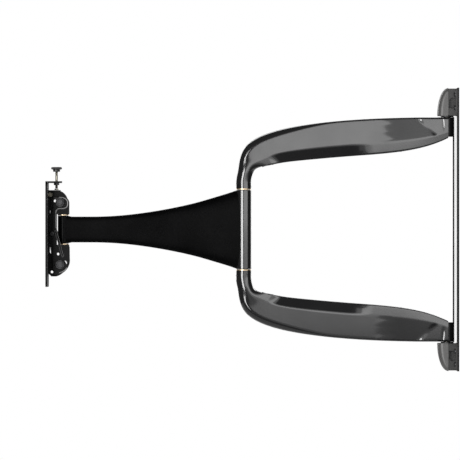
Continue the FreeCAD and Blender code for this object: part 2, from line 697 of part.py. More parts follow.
def tiltFasteners():
    pivot = ("tiltX", "tiltZ")
    shank = rod("tiltShank", "y", "tiltBoltRadius", pivot, ("-sideFace", "headFace - 0.4"))
    head = rod("tiltHead", "y", "tiltHeadRadius", pivot, ("-headFace + 0.4", "-sideFace"))
    piece("tilt_pivot_bolt", join("tiltBolt", [shank, head]))
    hexNut = hexagon("tiltNutHex", "y", "tiltHeadRadius", pivot, ("sideFace", "headFace - 1"))
    bore = rod("tiltNutBore", "y", "tiltBoltRadius", pivot, ("sideFace - 1", "headFace"))
    piece("tilt_pivot_nut", carve("tiltNut", hexNut, [bore]))
    bolts, nuts, washers = [], [], []
    for up in (-1, 1):
        centre = guideCentre(up)
        for side in (-1, 1):
            stem = rod("guideStem", "y", "guideRadius", centre, mirrored("nutFace", "washerFace", side))
            top = hexagon("guideHead", "y", "guideHexRadius", centre,
                          mirrored("washerFace", "headFace", side))
            bolts.append(join("guideBolt", [stem, top]))
            nutSpan = mirrored("nutFace", "earInner", side)
            hexNut = hexagon("guideNutHex", "y", "guideHexRadius", centre, nutSpan)
            past = mirrored("nutFace - 1", "earInner + 1", side)
            nuts.append(carve("guideNut", hexNut, [rod("guideNutBore", "y", "guideRadius", centre, past)]))
            washers.append(ring("guideWasher", "y", "guideWasherRadius", "guideRadius", centre,
                                mirrored("sideFace", "washerFace", side)))
    piece("guide_bolts", group("guideBolts", bolts))
    piece("guide_nuts", group("guideNuts", nuts))
    piece("guide_washers", group("guideWashers", washers))
    hook = ("rodX", "rodZ")
    piece("hook_rod", rod("hookRod", "y", "rodRadius", hook, ("-rodHalf", "rodHalf")))
    collars = [ring("rodCollar", "y", "collarRadius", "rodRadius", hook,
                    mirrored("sideFace", "rodHalf", side)) for side in (-1, 1)]
    piece("rod_collars", group("rodCollars", collars))


# ---- thumb screw

def thumbScrew():
    centre = ("thumbX", "0")
    piece("screw_pad", rod("screwPad", "z", "padRadius", centre, ("padLow", "padHigh")))
    piece("thumb_screw", rod("thumbShank", "z", "thumbRadius", centre, ("padHigh + 0.3", "discLow")))
    body = newBody("knobBlank")
    sketch = profile(body, "knobSide", "XZ_Plane")
    trace(sketch, ("thumbX", "hubLow"), [
        [("thumbX + hubRadius - 0.6", "hubLow")],
        [("thumbX + hubRadius", "hubLow + 0.6")],
        [("thumbX + hubRadius", "discLow")],
        [("thumbX + knobRadius", "discLow")],
        [("thumbX + knobRadius", "knobTop - 0.5")],
        [("thumbX + knobRadius - 0.5", "knobTop")],
        [("thumbX", "knobTop")],
        [("thumbX", "hubLow")],
    ])
    spun = body.newObject("PartDesign::Revolution", "knobSpin")
    spun.Profile = sketch
    spun.ReferenceAxis = (sketch, ["Edge8"])
    bind(spun, "Angle", "360")
    bore = rod("knobBore", "z", "thumbRadius", centre, ("hubLow - 1", "discLow"))
    grips = []
    notches = 18
    for number in range(notches):
        angle = number * 360 / notches
        grips.append(rod("knobNotch", "z", "notchRadius",
                         (f"thumbX + knobRadius * cos({angle}deg)", f"knobRadius * sin({angle}deg)"),
                         ("discLow - 1", "knobTop + 1")))
    piece("thumb_knob", carve("knobCut", body, [bore, *grips]))


wallPlate()
for word, side in (("upper", 1), ("lower", -1)):
    bracket(f"{word}_bracket", side)
    endCap(f"{word}_cap", side)
    arm(f"{word}_arm", side)
wallFasteners()
armFasteners()
forearm()
panYoke()
panFasteners()
tiltStays()
tiltCarriage()
tvPlate()
tiltFasteners()
thumbScrew()
doc.recompute()

faults = [thing.Label for thing in doc.Objects
          if "Invalid" in thing.State or "Error" in thing.State]
faults += [thing.Label for thing in pieces if thing.Shape.isNull() or not thing.Shape.isValid()]
if faults:
    raise RuntimeError("failed: " + ", ".join(faults))

os.makedirs("parts", exist_ok=True)
for thing in pieces:
    thing.Shape.exportStep(f"parts/{thing.Label}.step")
    print(thing.Label, len(thing.Shape.Solids), "solids", round(thing.Shape.Volume), "mm3")
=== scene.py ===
import bpy
import bmesh
import json
import math
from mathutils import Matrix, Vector
from mathutils.bvhtree import BVHTree


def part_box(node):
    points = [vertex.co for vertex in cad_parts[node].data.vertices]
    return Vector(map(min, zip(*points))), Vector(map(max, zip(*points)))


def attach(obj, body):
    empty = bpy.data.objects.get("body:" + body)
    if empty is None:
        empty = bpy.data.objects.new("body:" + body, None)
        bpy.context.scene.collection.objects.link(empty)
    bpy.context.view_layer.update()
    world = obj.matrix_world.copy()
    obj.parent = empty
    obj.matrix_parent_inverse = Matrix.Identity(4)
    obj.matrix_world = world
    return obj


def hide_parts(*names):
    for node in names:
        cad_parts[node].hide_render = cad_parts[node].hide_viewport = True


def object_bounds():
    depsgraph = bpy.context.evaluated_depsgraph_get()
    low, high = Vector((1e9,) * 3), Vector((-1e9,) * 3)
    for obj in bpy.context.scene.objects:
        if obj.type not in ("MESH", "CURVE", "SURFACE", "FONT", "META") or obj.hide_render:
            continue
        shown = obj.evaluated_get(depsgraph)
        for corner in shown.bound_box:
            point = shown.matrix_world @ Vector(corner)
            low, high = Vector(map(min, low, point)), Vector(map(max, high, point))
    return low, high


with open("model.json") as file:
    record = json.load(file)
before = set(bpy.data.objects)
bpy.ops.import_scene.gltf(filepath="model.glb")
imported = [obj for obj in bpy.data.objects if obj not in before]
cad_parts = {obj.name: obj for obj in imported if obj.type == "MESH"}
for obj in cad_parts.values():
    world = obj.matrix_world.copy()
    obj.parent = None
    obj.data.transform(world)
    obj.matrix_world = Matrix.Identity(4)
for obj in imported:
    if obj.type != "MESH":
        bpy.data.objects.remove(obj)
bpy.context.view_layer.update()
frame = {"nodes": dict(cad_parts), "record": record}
nodes = frame["nodes"]
bodyOf = {node: body for body, names in frame["record"]["behaviour"]["bodies"].items()
          for node in names}
mm = 0.001
print("frame loaded:", len(nodes), "nodes")


# materials

class Value:
    # one socket of a shader tree, so that sums can be written as plain expressions
    def __init__(self, finish, socket):
        self.finish = finish
        self.socket = socket

    def sum(self, operation, first, second):
        made = self.finish.node("ShaderNodeMath", {"operation": operation}, {0: first, 1: second})
        return Value(self.finish, made.outputs[0])

    def __add__(self, other):
        return self.sum("ADD", self, other)

    def __radd__(self, other):
        return self.sum("ADD", other, self)

    def __mul__(self, other):
        return self.sum("MULTIPLY", self, other)

    def __rmul__(self, other):
        return self.sum("MULTIPLY", other, self)


class NodeTree:
    # any node tree; each node takes its settings first, then its socket values or links
    def __init__(self, tree):
        self.tree = tree
        self.tree.nodes.clear()

    def node(self, kind, settings=None, sockets=None):
        made = self.tree.nodes.new(kind)
        for field, value in (settings or {}).items():
            setattr(made, field, value)
        for name, value in (sockets or {}).items():
            socket = made.inputs[name]
            if isinstance(value, Value):
                self.tree.links.new(value.socket, socket)
            elif isinstance(value, bpy.types.NodeSocket):
                self.tree.links.new(value, socket)
            else:
                socket.default_value = value
        return made


class Finish(NodeTree):
    # one material and the shader tree behind it
    def __init__(self, name):
        self.material = bpy.data.materials.new(name)
        self.material.use_nodes = True
        super().__init__(self.material.node_tree)

    def objectNoise(self, scale, detail=2.0, roughness=0.5, stretch=(1, 1, 1)):
        place = self.node("ShaderNodeTexCoord").outputs["Object"]
        stretched = self.node("ShaderNodeMapping", None, {"Vector": place, "Scale": stretch})
        made = self.node("ShaderNodeTexNoise", None, {
            "Vector": stretched.outputs[0], "Scale": scale, "Detail": detail, "Roughness": roughness})
        return Value(self, made.outputs["Fac"])

    def between(self, dark, light, factor):
        return self.node("ShaderNodeMix", {"data_type": "RGBA"}, {
            "Factor": factor, 6: (*dark, 1), 7: (*light, 1)}).outputs[2]

    def clamped(self, value, low, high):
        made = self.node("ShaderNodeMapRange", {"clamp": True}, {
            "Value": value, "From Min": low, "From Max": high})
        return Value(self, made.outputs[0])

    def bump(self, height, strength, distance):
        return self.node("ShaderNodeBump", None, {
            "Height": height, "Strength": strength, "Distance": distance}).outputs[0]

    def shader(self, **sockets):
        surface = self.node("ShaderNodeBsdfPrincipled", None, {
            name.replace("_", " "): value for name, value in sockets.items()})
        self.node("ShaderNodeOutputMaterial", None, {"Surface": surface.outputs[0]})
        return self.material


castPaint = {"dark": (0.006, 0.006, 0.0065), "light": (0.014, 0.014, 0.0145), "cloud": 14,
             "gloss": 0.09, "glossSpread": 0.1, "coat": 0.35, "coatSpread": 0.4, "coatCloud": 30,
             "coatGloss": 0.07, "peel": 260, "peelStrength": 0.15, "peelDepth": 0.00006}


def castGloss():
    # thick black enamel on the cast arms, with a slight orange peel
    paint = castPaint
    finish = Finish("gloss black enamel")
    cloud = finish.objectNoise(paint["cloud"], 3)
    peel = finish.objectNoise(paint["peel"], 1)
    return finish.shader(
        Base_Color=finish.between(paint["dark"], paint["light"], cloud),
        Roughness=paint["gloss"] + paint["glossSpread"] * cloud,
        Coat_Weight=paint["coat"] + paint["coatSpread"] * finish.objectNoise(paint["coatCloud"]),
        Coat_Roughness=paint["coatGloss"], Coat_IOR=1.5,
        Normal=finish.bump(peel, paint["peelStrength"], paint["peelDepth"]))


powderPaint = {"dark": (0.001, 0.001, 0.0011), "light": (0.02, 0.02, 0.021), "cloud": 18,
               "speck": 1500, "speckRange": (0.52, 0.72), "gloss": 0.2, "glossSpread": 0.16,
               "shine": 0.04, "grain": 900, "grainStrength": 0.5, "grainDepth": 0.00007}


def castSpeckled():
    # the forearm's drier powder coat, finely speckled
    paint = powderPaint
    finish = Finish("speckled black powder coat")
    cloud = finish.objectNoise(paint["cloud"], 3)
    speck = finish.clamped(finish.objectNoise(paint["speck"], 2, 0.7), *paint["speckRange"])
    grain = finish.objectNoise(paint["grain"], 3, 0.6)
    return finish.shader(
        Base_Color=finish.between(paint["dark"], paint["light"], speck * cloud),
        Roughness=paint["gloss"] + paint["glossSpread"] * cloud, Specular_IOR_Level=paint["shine"],
        Normal=finish.bump(grain, paint["grainStrength"], paint["grainDepth"]))


steelPaint = {"cloud": 24, "rub": 90, "rubStretch": (1, 1, 0.4), "rubRange": (0.56, 0.78),
              "cloudShare": 0.35, "rubShare": 0.5, "glossSpread": 0.14,
              "grain": 700, "grainStrength": 0.35, "grainDepth": 0.00004}


def paintedSteel(name, dark, light, gloss, shine=0.5):
    # satin paint over folded sheet, thinner and paler where it has rubbed
    paint = steelPaint
    finish = Finish(name)
    cloud = finish.objectNoise(paint["cloud"], 4)
    rubbing = finish.objectNoise(paint["rub"], 5, 0.65, paint["rubStretch"])
    rub = finish.clamped(rubbing, *paint["rubRange"])
    grain = finish.objectNoise(paint["grain"])
    share = paint["cloudShare"] * cloud + paint["rubShare"] * rub
    return finish.shader(
        Base_Color=finish.between(dark, light, share),
        Roughness=gloss + paint["glossSpread"] * cloud, Specular_IOR_Level=shine,
        Normal=finish.bump(grain, paint["grainStrength"], paint["grainDepth"]))


metalLook = {"tarnish": 160, "marks": 900, "stretch": (1, 1, 6), "glossSpread": 0.16,
             "markStrength": 0.25, "markDepth": 0.00003}


def machined(name, dark, light, gloss):
    # bright metal with turning marks and a little tarnish
    look = metalLook
    finish = Finish(name)
    tarnish = finish.objectNoise(look["tarnish"], 4, 0.6)
    marks = finish.objectNoise(look["marks"], 2, 0.5, look["stretch"])
    return finish.shader(
        Base_Color=finish.between(dark, light, tarnish), Metallic=1.0,
        Roughness=gloss + look["glossSpread"] * marks,
        Normal=finish.bump(marks, look["markStrength"], look["markDepth"]))


softLook = {"metal": 0.0, "spread": 0.12, "grain": 1300, "detail": 2, "strength": 0.35,
            "depth": 0.00004}
# where a finish differs from the one above
softLooks = {
    "satin grey moulding": {
        "dark": (0.075, 0.073, 0.071), "light": (0.11, 0.108, 0.105), "cloud": 40,
        "gloss": 0.34, "spread": 0.1, "grain": 1100, "strength": 0.3},
    "black oxide screws": {
        "dark": (0.02, 0.02, 0.021), "light": (0.075, 0.075, 0.078), "cloud": 220, "metal": 0.7,
        "gloss": 0.28, "spread": 0.14, "grain": 1400, "detail": 1, "strength": 0.2, "depth": 0.00003},
    "pale nylon": {
        "dark": (0.36, 0.35, 0.33), "light": (0.50, 0.49, 0.47), "cloud": 60, "gloss": 0.38},
    "satin black plastic": {
        "dark": (0.008, 0.008, 0.009), "light": (0.017, 0.017, 0.018), "cloud": 60, "gloss": 0.34},
}


def softFinish(name):
    # two close tones in soft clouds, under a fine grain
    look = {**softLook, **softLooks[name]}
    finish = Finish(name)
    cloud = finish.objectNoise(look["cloud"], 3)
    grain = finish.objectNoise(look["grain"], look["detail"])
    return finish.shader(
        Base_Color=finish.between(look["dark"], look["light"], cloud), Metallic=look["metal"],
        Roughness=look["gloss"] + look["spread"] * cloud,
        Normal=finish.bump(grain, look["strength"], look["depth"]))


enamel = castGloss()
powder = castSpeckled()
steel = paintedSteel("satin black steel", (0.002, 0.002, 0.0021), (0.010, 0.0098, 0.0095), 0.2, 0.16)
# painted highlight: pale grey on the bevels of the head's sheet steel and on the cheek beads stands for
# the light their edges catch
edgeHighlight = paintedSteel("worn steel edges", (0.16, 0.16, 0.16), (0.56, 0.555, 0.55), 0.3)
bracketSteel = paintedSteel("satin bracket paint", (0.020, 0.019, 0.018), (0.045, 0.043, 0.041),
                            0.3, 0.42)
# painted highlight: pale grey on the front strip of each wall-plate flange stands for the light it
# reflects
plateHighlight = paintedSteel("rubbed plate edge", (0.58, 0.58, 0.58), (0.74, 0.74, 0.74), 0.3)
brass = machined("bearing brass", (0.86, 0.62, 0.36), (0.98, 0.86, 0.66), 0.34)
zinc = machined("zinc plate", (0.20, 0.188, 0.15), (0.30, 0.282, 0.23), 0.24)
greyCap, oxide, nylon, plastic = [softFinish(name) for name in softLooks]
print("materials ready")


# mesh helpers

# area in square metres from which a face counts as a broad flat
flatOver = 0.00005
# how near points are when they count as one: in made meshes, and in the CAD's
mergeWithin = 1e-6
cadMergeWithin = 2e-6


def finished(name, mesh, material, node=None, body=None, smooth=40):
    # material may be a list, and its first one gives the slot; node is what the piece stands for
    materials = material if isinstance(material, list) else [material]
    for one in materials:
        mesh.materials.append(one)
    mesh.shade_smooth()
    mesh.set_sharp_from_angle(angle=math.radians(smooth))
    for face in mesh.polygons:
        # broad flats stay flat, so that a broken edge does not shade across them
        if face.area > flatOver:
            face.use_smooth = False
    first, *others = name.replace("_", " ").split()
    thing = bpy.data.objects.new(first + "".join(word.capitalize() for word in others), mesh)
    bpy.context.scene.collection.objects.link(thing)
    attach(thing, body or bodyOf[node])
    if node:
        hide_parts(node)


def middleOf(low, high):
    return [(first + second) / 2 for first, second in zip(low, high)]


def meshFrom(name, points, faces):
    mesh = bpy.data.meshes.new(name)
    mesh.from_pydata([tuple(point) for point in points], [], faces)
    return tidied(mesh)


def tidied(mesh):
    # doubles merged first, then every face turned outwards
    work = bmesh.new()
    work.from_mesh(mesh)
    bmesh.ops.remove_doubles(work, verts=work.verts, dist=mergeWithin)
    bmesh.ops.recalc_face_normals(work, faces=work.faces)
    work.to_mesh(mesh)
    work.free()
    return mesh


def skin(name, rings, closedAlong=False):
    # joins rings of equal length into one closed skin, with a fan at each end
    count = len(rings[0])
    points = [point for ring in rings for point in ring]
    faces = []
    steps = len(rings) if closedAlong else len(rings) - 1
    for row in range(steps):
        below, above = row * count, (row + 1) % len(rings) * count
        for number in range(count):
            following = (number + 1) % count
            faces.append((below + number, below + following, above + following, above + number))
    if not closedAlong:
        for start in (0, (len(rings) - 1) * count):
            centre = sum((Vector(points[start + n]) for n in range(count)), Vector()) / count
            points.append(centre)
            middle = len(points) - 1
            faces += [(start + n, start + (n + 1) % count, middle) for n in range(count)]
    return meshFrom(name, points, faces)


def cadCopy(node):
    # a CAD mesh is loose triangles, so a copy is merged before anything else
    work = bmesh.new()
    work.from_mesh(nodes[node].data)
    bmesh.ops.remove_doubles(work, verts=work.verts, dist=cadMergeWithin)
    return work


def cadTree(node):
    # for casting rays at a CAD shape
    work = cadCopy(node)
    tree = BVHTree.FromBMesh(work)
    work.free()
    return tree


def islands(node):
    # the lowest and highest corner of each loose part of a node
    work = cadCopy(node)
    unseen = set(work.verts)
    found = []
    while unseen:
        front = [unseen.pop()]
        group = list(front)
        while front:
            for edge in front.pop().link_edges:
                for vert in edge.verts:
                    if vert in unseen:
                        unseen.discard(vert)
                        front.append(vert)
                        group.append(vert)
        low = Vector([min(vert.co[axis] for vert in group) for axis in range(3)])
        high = Vector([max(vert.co[axis] for vert in group) for axis in range(3)])
        found.append((low, high))
    work.free()
    return sorted(found, key=lambda pair: tuple(round(value, 5) for value in pair[0]))


def softened(node, width, change=None, sharp=33):
    # the CAD shape with its flats joined up and its hard edges broken
    work = cadCopy(node)
    bmesh.ops.dissolve_limit(work, angle_limit=math.radians(1), verts=work.verts,
                             edges=work.edges, delimit={"NORMAL"})
    if change:
        change(work)
    hard = [edge for edge in work.edges if len(edge.link_faces) == 2
            and edge.calc_face_angle(0) > math.radians(sharp)]
    bmesh.ops.bevel(work, geom=hard, offset=width, segments=2, profile=0.6, affect="EDGES",
                    clamp_overlap=True, offset_type="OFFSET", miter_outer="SHARP", material=1)
    bmesh.ops.remove_doubles(work, verts=work.verts, dist=mergeWithin)
    bmesh.ops.recalc_face_normals(work, faces=work.faces)
    mesh = bpy.data.meshes.new(node)
    work.to_mesh(mesh)
    work.free()
    return mesh


def turnedMesh(name, outline, axis, centre, segments=48):
    # outline is (radius, along) pairs from the axis or a bore round to where it started
    spinAxis = "xyz".index(axis)
    across = [n for n in range(3) if n != spinAxis]
    rings = []
    for number in range(segments):
        angle = 2 * math.pi * number / segments
        ring = []
        for radius, along in outline:
            point = [0, 0, 0]
            point[across[0]] = centre[0] + radius * math.cos(angle)
            point[across[1]] = centre[1] + radius * math.sin(angle)
            point[spinAxis] = along
            ring.append(point)
        rings.append(ring)
    return skin(name, rings, closedAlong=True)


def combined(name, meshes):
    work = bmesh.new()
    for mesh in meshes:
        work.from_mesh(mesh)
    whole = bpy.data.meshes.new(name)
    work.to_mesh(whole)
    work.free()
    return whole


def ringOutline(outer, inner, low, high, chamfer):
    return [(inner, low), (outer - chamfer, low), (outer, low + chamfer),
            (outer, high - chamfer), (outer - chamfer, high), (inner, high)]


def turned(node, axis, bore, chamfer, material, segments=48, name=None):
    # each loose part of the node, turned afresh with its edges broken
    spinAxis = "xyz".index(axis)
    across = [n for n in range(3) if n != spinAxis]
    meshes = []
    for low, high in islands(node):
        centre = [(low[n] + high[n]) / 2 for n in across]
        outer = (high[across[0]] - low[across[0]]) / 2
        outline = ringOutline(outer, bore, low[spinAxis], high[spinAxis], chamfer)
        meshes.append(turnedMesh(node, outline, axis, centre, segments))
    finished(name or node, combined(node, meshes), material, node)


# the arms: one loft each, along a centreline that turns down into the elbow

armShape = {
    # x, height and the direction of the outer side in degrees, from the wall to the elbow
    "line": [(-0.0150, 0.1480, 90), (-0.0300, 0.1440, 90), (-0.0600, 0.1405, 90),
             (-0.1080, 0.1362, 91), (-0.1776, 0.1308, 94), (-0.2320, 0.1248, 101),
             (-0.2660, 0.1178, 115), (-0.2900, 0.1075, 136), (-0.3035, 0.0955, 156),
             (-0.3100, 0.0830, 174), (-0.3115, 0.0730, 180), (-0.3115, 0.0596, 180)],
    "stations": 260, "probe": 0.0078, "boreEnd": -0.026, "outside": 0.05, "startUp": 0.0004,
    "half": 0.0094, "knuckleHalf": 0.0113, "innerHalf": 0.0052,
    "corner": 0.0026, "elbowCorner": 0.0094, "cornerGrows": (0.17, 0.27),
    # the broad side: it flares towards the wall, with a rounded lobe and a shallow dip at the end
    "flare": (-0.110, -0.020), "lobeFrom": -0.062, "lobeLean": 0.036, "lobeLimit": 0.75,
    "lobeBlend": 0.008, "dip": 0.0006, "dipAt": -0.0225, "dipWide": 0.0042, "dipLean": 0.1,
    "dipMiddle": 0.008, "dipFades": (0.30, 0.75),
    # a slight twist before the lobe, with a wavy edge of (depth, waves, start)
    "twist": 0.075, "twistSpan": (-0.122, -0.092), "twistAbout": 0.35,
    "waves": ((0.0022, 430, 0), (0.0012, 1150, 1)),
    # the leaning facet along the inner edge
    "facet": 0.30, "wallFacet": 0.0006, "facetStarts": (-0.284, -0.262),
    "facetEnds": (-0.162, -0.124), "innerCorner": 0.0010, "rimShare": 0.3,
    # the foot, which turns round towards the elbow shaft
    "footFrom": -0.28, "footSpan": (-0.002, 0.026),
    # the groove and the strip that lies in it
    "groove": 0.0009, "coverHalf": 0.0047, "coverDeep": 0.0022, "coverEdge": 0.0006,
    "coverSink": 0.0009, "sinkOver": 0.02, "slack": 0.0001,
}


def smoothStep(low, high, value):
    part = min(max((value - low) / (high - low), 0.0), 1.0)
    return part * part * (3 - 2 * part)


def throughPoints(points, steps):
    # Catmull-Rom through rows of numbers
    rows = [points[0], *points, points[-1]]
    found = []
    for number in range(steps):
        place = number / (steps - 1) * (len(points) - 1)
        index = min(int(place), len(points) - 2)
        t = place - index
        a, b, c, d = rows[index:index + 4]
        found.append([0.5 * (2 * q + (r - p) * t + (2 * p - 5 * q + 4 * r - s) * t * t
                             + (3 * q - p - 3 * r + s) * t ** 3)
                      for p, q, r, s in zip(a, b, c, d)])
    return found


def armStations(node, side):
    # centre, outer direction and the distance to each edge, read off the CAD arm
    tree = cadTree(node)
    found = []
    for x, z, angle in throughPoints(armShape["line"], armShape["stations"]):
        centre = Vector((x, 0, side * z))
        turn = math.radians(angle)
        out = Vector((math.cos(turn), 0, side * math.sin(turn)))
        start = centre.copy()
        start.z = side * max(abs(start.z), armShape["line"][-1][1] + armShape["startUp"])
        probe = Vector((0, armShape["probe"], 0))
        # the outer edge is met from outside, on the middle plane where no bore opens there
        away = armShape["outside"]
        across = probe if x > armShape["boreEnd"] else Vector()
        outer = away - tree.ray_cast(start + across + out * away, -out)[3]
        inner = tree.ray_cast(start + probe, -out)[3]
        found.append([centre, out, outer, inner])
    return found


def armSection(outer, inner, x, grooved, turn):
    # half of the section from the outer edge to the inner one: (along the outer side, y)
    shape = armShape
    height = outer + inner
    rounder = smoothStep(*shape["cornerGrows"], -x)
    corner = shape["corner"] + (shape["elbowCorner"] - shape["corner"]) * rounder

    def halfAt(drop):
        # half of the arm's thickness, so far down from the outer edge
        start = shape["lobeFrom"] + shape["lobeLean"] * min(drop / height, shape["lobeLimit"])
        lobe = smoothStep(start, start + shape["lobeBlend"], x)
        flare = smoothStep(*shape["flare"], x)
        dipAt = shape["dipAt"] + shape["dipLean"] * (drop - shape["dipMiddle"])
        dip = shape["dip"] * max(1 - abs(x - dipAt) / shape["dipWide"], 0) ** 2
        dip *= 1 - smoothStep(*shape["dipFades"], drop / height)
        shift = sum(deep * math.sin(drop * waves + first) for deep, waves, first in shape["waves"])
        low, high = shape["twistSpan"]
        twist = smoothStep(low + shift, high + shift, x) * (1 - lobe)
        lean = shape["twist"] * twist * (drop - shape["twistAbout"] * height)
        return shape["half"] + (shape["knuckleHalf"] - shape["half"]) * flare - dip + lean

    flat = halfAt(0) - corner
    points = [(outer, flat * part / 4) for part in range(5)]
    for number in range(1, 10):
        angle = math.radians(90 - 10 * number)
        points.append((outer - corner + corner * math.sin(angle), flat + corner * math.cos(angle)))
    crease = height * (1 - shape["facet"])
    for number in range(13):
        drop = corner + (crease - corner) * number / 12
        points.append((outer - drop, halfAt(drop)))
    edge = halfAt(crease)
    low = shape["innerHalf"]
    ends = smoothStep(*shape["facetEnds"], x) + 1 - smoothStep(*shape["facetStarts"], x)
    low += (edge - shape["wallFacet"] - low) * ends
    rim = shape["innerCorner"]
    share = shape["rimShare"] * rim
    for number in range(1, 8):
        part = number / 7
        points.append((outer - crease - (height - crease - rim) * part, edge + (low - edge) * part))
    points.append((-inner + share, low - share))
    points.append((-inner, low - rim))
    deep = shape["groove"] if grooved else 0
    width = min(shape["coverHalf"], low - rim - shape["slack"])
    points += [(-inner + deep, width * part / 4) for part in (4, 3, 2, 1, 0)]
    # the foot's section turns into an ellipse
    radius = shape["knuckleHalf"]
    middle = (outer - inner) / 2
    shaped = []
    for a, b in points:
        angle = math.atan2(b / radius, (a - middle) / max(height / 2, 1e-5))
        shaped.append((a + (middle + radius * math.cos(angle) - a) * turn,
                       b + (radius * math.sin(angle) - b) * turn))
    return shaped


def makeArm(node, side):
    cover = node.replace("arm", "cable_cover")
    coverLow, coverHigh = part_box(cover)
    width, deep, edge = armShape["coverHalf"], armShape["coverDeep"], armShape["coverEdge"]
    strip = [(0, width - edge), (edge, width), (deep, width), (deep, -width), (edge, -width),
             (0, edge - width)]
    foot = armShape["line"][-3][1]
    footLow, footHigh = [foot + step for step in armShape["footSpan"]]
    rings, strips = [], []
    for centre, out, outer, inner in armStations(node, side):
        onFoot = centre.x < armShape["footFrom"]
        turn = 1 - smoothStep(footLow, footHigh, abs(centre.z)) if onFoot else 0
        innerEdge = centre - out * inner
        grooved = coverLow[0] < innerEdge.x < coverHigh[0]
        half = armSection(outer, inner, centre.x, grooved, turn)
        loop = half + [(a, -b) for a, b in half[-2:0:-1]]
        rings.append([centre + out * a + Vector((0, b, 0)) for a, b in loop])
        if grooved:
            run = smoothStep(0, armShape["sinkOver"], innerEdge.x - coverLow[0])
            sink = armShape["coverSink"] * (1 - run)
            strips.append([centre - out * (inner - a - sink) + Vector((0, b, 0))
                           for a, b in strip])
    finished(node + " casting", skin(node, rings), enamel, node, smooth=24)
    finished(cover, skin(cover, strips), plastic, cover)


for node, side in (("upper_arm", 1), ("lower_arm", -1)):
    makeArm(node, side)

wallKnuckle = {"radius": 0.0104, "low": 0.1345, "round": 0.0018, "boreGap": 0.0002,
               "topEdge": 0.0008}


def makeWallKnuckle(side):
    # the round end of the casting that the wall pin runs through
    pinLow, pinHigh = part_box("upper_wall_pin" if side > 0 else "lower_wall_pin")
    centre = (middleOf(pinLow, pinHigh)[0], 0)
    bore = (pinHigh[0] - pinLow[0]) / 2 + wallKnuckle["boreGap"]
    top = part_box("upper_arm")[1][2]
    radius, low, turn = wallKnuckle["radius"], wallKnuckle["low"], wallKnuckle["round"]
    edge = wallKnuckle["topEdge"]
    outline = [(bore, low)]
    for number in range(5):
        angle = math.radians(22.5 * number)
        outline.append((radius - turn + turn * math.sin(angle), low + turn - turn * math.cos(angle)))
    outline += [(radius, top - edge), (radius - edge, top), (bore, top)]
    outline = [(r, side * z) for r, z in outline]
    name = "upper wall knuckle" if side > 0 else "lower wall knuckle"
    finished(name, turnedMesh(name, outline, "z", centre, 64), enamel, body="arms")


for side in (1, -1):
    makeWallKnuckle(side)
print("arms made")


# the forearm: a barrel, a web that tapers in both directions, and the pan knuckle

webShape = {"stations": 70, "around": 48, "probe": 0.0068, "squareElbow": 3.2, "squarePan": 5.5,
            "elbowHalf": 0.0102, "waistHalf": 0.0086, "panHalf": 0.0075,
            "narrows": (0, 0.3), "thins": (0.3, 0.9),
            # how far the web runs into the barrel and the knuckle, and where rays still meet it
            "intoBarrel": 0.002, "intoKnuckle": 0.001, "clearBarrel": 0.0095, "clearKnuckle": 0.0100,
            "barrelBore": 0.0064, "knuckleRadius": 0.008, "knuckleBore": 0.0045,
            "knuckleHalf": 0.020, "chamfer": 0.0006}


def makeForearm():
    shape = webShape
    low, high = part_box("forearm")
    elbowX = middleOf(*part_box("elbow_shaft"))[0]
    panX = middleOf(*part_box("pan_bolt"))[0]
    tree = cadTree("forearm")
    rings = []
    first, last = elbowX - shape["intoBarrel"], panX + shape["intoKnuckle"]
    for number in range(shape["stations"]):
        part = number / (shape["stations"] - 1)
        x = first + (last - first) * part
        probe = min(max(x, panX + shape["clearKnuckle"]), elbowX - shape["clearBarrel"])
        up = tree.ray_cast(Vector((probe, shape["probe"], 0)), Vector((0, 0, 1)))[3]
        half = shape["elbowHalf"]
        half += (shape["waistHalf"] - shape["elbowHalf"]) * smoothStep(*shape["narrows"], part)
        half += (shape["panHalf"] - shape["waistHalf"]) * smoothStep(*shape["thins"], part)
        square = shape["squareElbow"] + (shape["squarePan"] - shape["squareElbow"]) * part
        ring = []
        for step in range(shape["around"]):
            angle = 2 * math.pi * (step + 0.5) / shape["around"]
            c, s = math.cos(angle), math.sin(angle)
            ring.append((x, half * math.copysign(abs(c) ** (2 / square), c),
                         up * math.copysign(abs(s) ** (2 / square), s)))
        rings.append(ring)
    barrel = ringOutline(high[1], shape["barrelBore"], low[2], high[2], shape["chamfer"])
    knuckle = ringOutline(shape["knuckleRadius"], shape["knuckleBore"], -shape["knuckleHalf"],
                          shape["knuckleHalf"], shape["chamfer"])
    web = combined("web", [skin("web", rings), turnedMesh("knuckle", knuckle, "z", (panX, 0), 48)])
    webFaces = len(web.polygons)
    whole = combined("forearm casting", [web, turnedMesh("barrel", barrel, "z", (elbowX, 0), 72)])
    for face in whole.polygons:
        face.material_index = 1 if face.index >= webFaces else 0
    finished("forearm casting", whole, [powder, enamel], "forearm", smooth=30)


makeForearm()
print("forearm made")


# wall unit

plateShape = {"edge": 0.0007, "leanFrom": 0.0036, "lean": 0.0010, "flangeFrom": 0.0478,
              "bracketEdge": 0.0005}


def leanFlange(work):
    # the front of each flange leans in a little, past the bend
    geometry = work.verts[:] + work.edges[:] + work.faces[:]
    bmesh.ops.bisect_plane(work, geom=geometry, plane_co=(-plateShape["leanFrom"], 0, 0),
                           plane_no=(1, 0, 0), dist=1e-7)
    low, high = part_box("wall_plate")
    for vert in work.verts:
        if vert.co.x < low[0] + 1e-5 and abs(vert.co.y) > high[1] - 1e-5:
            vert.co.y -= math.copysign(plateShape["lean"], vert.co.y)


def makePlate():
    mesh = softened("wall_plate", plateShape["edge"], leanFlange)
    finished("wall plate", mesh, [steel, plateHighlight], "wall_plate")
    # the flanges' front faces take the painted highlight
    for face in mesh.polygons:
        front = face.center.x < -plateShape["leanFrom"] and abs(face.center.y) > plateShape["flangeFrom"]
        face.material_index = 1 if front else 0


